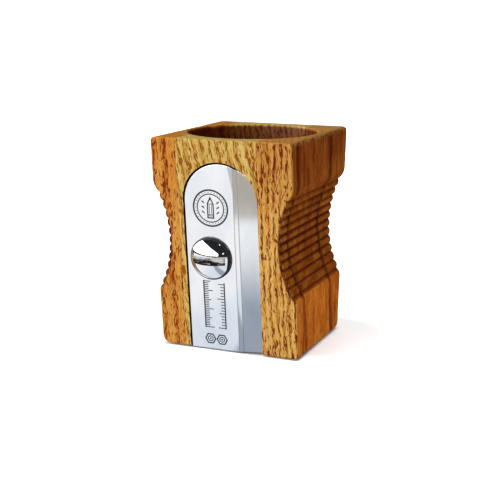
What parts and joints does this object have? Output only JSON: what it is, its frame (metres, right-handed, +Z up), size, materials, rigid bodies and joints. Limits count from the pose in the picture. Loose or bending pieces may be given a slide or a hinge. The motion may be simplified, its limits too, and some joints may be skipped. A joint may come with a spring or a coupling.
{
  "type": "pencil-sharpener-shaped desk pot",
  "caption": "Oak desk pot in the shape of a wedge pencil sharpener, with ribbed grips, a tapered pen hole and a steel blade plate on a slotted screw.",
  "frame": {"origin": "middle of the rubber pad's underside, where the pot stands on the desk", "axes": "+Z up; +X to the right seen from the front; the front with the blade plate faces -Y"},
  "size_m": [0.076, 0.0834, 0.1106],
  "materials": {
    "oak_left": "oiled, satin",
    "oak_centre": "oiled, satin",
    "oak_right": "oiled, satin",
    "insert_brass": "machined",
    "pad_rubber": "matt",
    "plate_steel": "finely polished",
    "screw_chrome": "mirror polished"
  },
  "bodies": {
    "pot": {"left_stave": "oak_left", "centre_stave": "oak_centre", "right_stave": "oak_right", "threaded_insert": "insert_brass", "base_pad": "pad_rubber"},
    "plate": {"blade_plate": "plate_steel"},
    "screw": {"clamp_screw": "screw_chrome"}
  },
  "joints": [
    {"name": "plate_lift", "type": "slide", "parent": "pot", "child": "plate", "axis": [0, -0.9956, -0.0932], "range_m": [0, 0.00701]},
    {"name": "screw_turn", "type": "hinge", "parent": "plate", "child": "screw", "pos_m": [-0.0074, -0.03612, 0.0499], "axis": [0, -0.9956, -0.0932], "range_deg": [0, 2520]}
  ],
  "couplings": [
    {"joint": "plate_lift", "follows": "screw_turn", "m_per_rad": 0.00015915}
  ]
}
